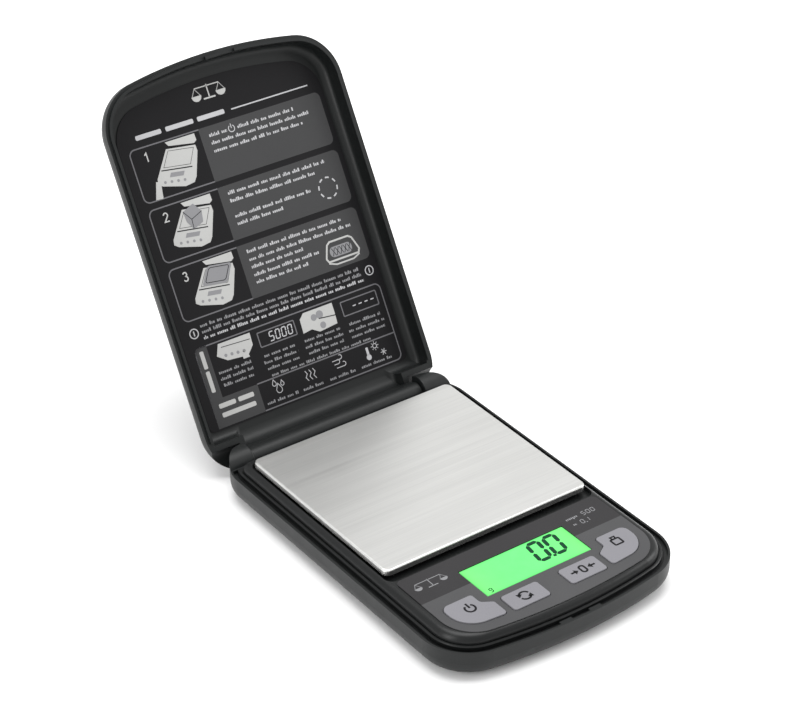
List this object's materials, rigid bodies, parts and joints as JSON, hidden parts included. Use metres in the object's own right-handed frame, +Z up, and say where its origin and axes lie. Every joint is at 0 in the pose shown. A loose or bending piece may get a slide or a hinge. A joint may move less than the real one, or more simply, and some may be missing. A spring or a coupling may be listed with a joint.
{
  "type": "pocket gram scale",
  "caption": "Battery pocket gram scale: stainless pan, lit display and keys in a slim base, with a hinged fold-over lid that holds a printed guide card.",
  "frame": {"origin": "middle of the base's footprint, on the plane its feet stand on", "axes": "+X along the hinge to the right of a person using it, +Y from the keys to the hinge, +Z up; the lid is folded back on its stop"},
  "size_m": [0.087, 0.1953, 0.1136],
  "materials": {
    "shell_plastic": "fine satin grain",
    "cover_plastic": "satin",
    "lid_plastic": "fine satin grain",
    "door_plastic": "fine satin grain",
    "printed_card": "printed film",
    "overlay_film": "printed film",
    "key_plastic": "satin",
    "window_plastic": "clear",
    "display_cell": "clear",
    "light_guide": "lit from the edge",
    "foot_rubber": "matt",
    "pan_steel": "brushed along the hinge direction",
    "carrier_plastic": "satin",
    "beam_metal": "milled",
    "screw_steel": "zinc plated",
    "pin_steel": "ground",
    "coin_steel": "bright",
    "contact_brass": "spring tempered",
    "board_laminate": "solder mask",
    "part_plastic": "moulded",
    "lead_plastic": "sleeved"
  },
  "bodies": {
    "base": {"backlight": "light_guide", "battery_contact_front": "contact_brass", "battery_contact_rear": "contact_brass", "battery_lead": "lead_plastic", "board_screw_1": "screw_steel", "board_screw_2": "screw_steel", "bottom_shell": "shell_plastic", "case_screw_1": "screw_steel", "case_screw_2": "screw_steel", "case_screw_3": "screw_steel", "case_screw_4": "screw_steel", "coin_cell_front": "coin_steel", "coin_cell_rear": "coin_steel", "contact_strip": "foot_rubber", "control_overlay": "overlay_film", "display_glass": "display_cell", "display_window": "window_plastic", "foot_1": "foot_rubber", "foot_2": "foot_rubber", "foot_3": "foot_rubber", "foot_4": "foot_rubber", "hinge_pin_left": "pin_steel", "hinge_pin_right": "pin_steel", "load_cell": "beam_metal", "load_cell_screw_1": "screw_steel", "load_cell_screw_2": "screw_steel", "main_board": "board_laminate", "processor": "part_plastic", "sensor_lead": "lead_plastic", "switch_calibrate": "part_plastic", "switch_mode": "part_plastic", "switch_power": "part_plastic", "switch_tare": "part_plastic", "top_cover": "cover_plastic"},
    "lid": {"lid_shell": "lid_plastic", "guide_card": "printed_card"},
    "pan": {"weighing_pan": "pan_steel", "pan_carrier": "carrier_plastic", "carrier_screw_1": "screw_steel", "carrier_screw_2": "screw_steel"},
    "power_button": {"key_power": "key_plastic"},
    "mode_button": {"key_mode": "key_plastic"},
    "tare_button": {"key_tare": "key_plastic"},
    "calibrate_button": {"key_calibrate": "key_plastic"},
    "coin_door": {"battery_door": "door_plastic", "battery_strap": "contact_brass"}
  },
  "joints": [
    {"name": "lid_hinge", "type": "hinge", "parent": "base", "child": "lid", "pos_m": [0, 0.0605, 0.0078], "axis": [1, 0, 0], "range_deg": [0, 120.9]},
    {"name": "pan_travel", "type": "slide", "parent": "base", "child": "pan", "axis": [0, 0, -1], "range_m": [0, 0.0003], "stiffness_N_per_m": 4000, "deforming": ["load_cell"]},
    {"name": "power_key", "type": "slide", "parent": "base", "child": "power_button", "axis": [0, 0, -1], "range_m": [0, 0.00035], "stiffness_N_per_m": 400},
    {"name": "mode_key", "type": "slide", "parent": "base", "child": "mode_button", "axis": [0, 0, -1], "range_m": [0, 0.00035], "stiffness_N_per_m": 400},
    {"name": "tare_key", "type": "slide", "parent": "base", "child": "tare_button", "axis": [0, 0, -1], "range_m": [0, 0.00035], "stiffness_N_per_m": 400},
    {"name": "calibrate_key", "type": "slide", "parent": "base", "child": "calibrate_button", "axis": [0, 0, -1], "range_m": [0, 0.00035], "stiffness_N_per_m": 400},
    {"name": "coin_door_lift", "type": "slide", "parent": "base", "child": "coin_door", "axis": [0, 0, -1], "range_m": [0, 0.012]}
  ]
}
